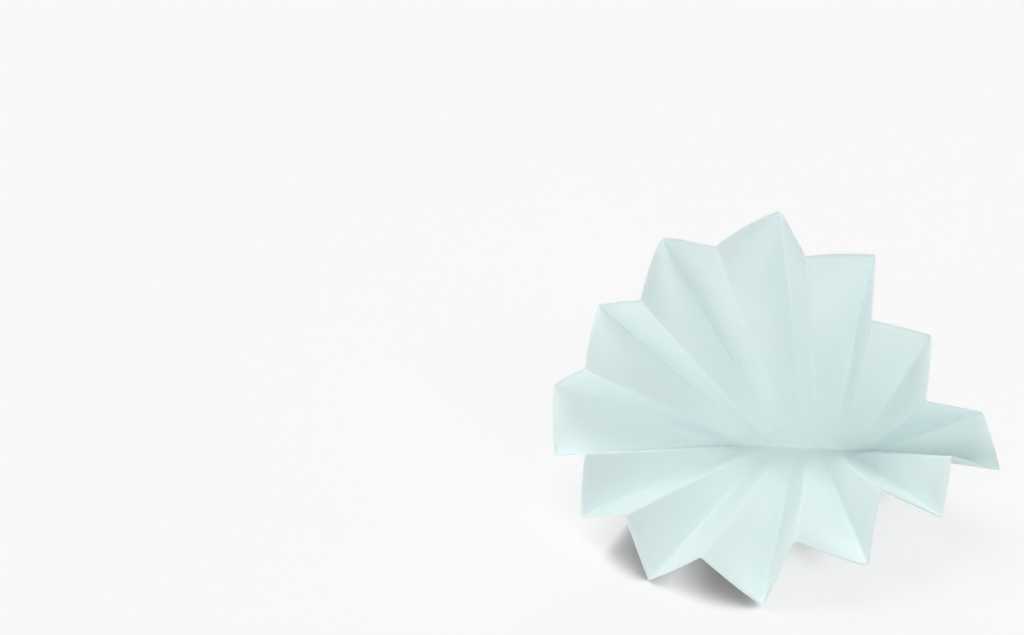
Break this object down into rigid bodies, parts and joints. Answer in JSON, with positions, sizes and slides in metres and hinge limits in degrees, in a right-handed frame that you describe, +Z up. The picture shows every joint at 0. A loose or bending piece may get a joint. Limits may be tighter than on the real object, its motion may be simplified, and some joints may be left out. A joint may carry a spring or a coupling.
{
  "type": "folded filter paper",
  "caption": "Round filter paper folded into a fluted cone for a funnel, opened by hand and lying on its side.",
  "frame": {"origin": "on the table under the middle of the diameter fold, which is the closed bottom of the cone", "axes": "+X runs along the diameter fold and is the longest way across the part, +Z is up from the table, and the mouth of the cone opens towards -Y and +Z"},
  "size_m": [0.1171, 0.0742, 0.0742],
  "materials": {
    "filter_paper": "matt, unglazed, pale cool white"
  },
  "bodies": {
    "root": {"filter_paper": "filter_paper"}
  },
  "joints": []
}
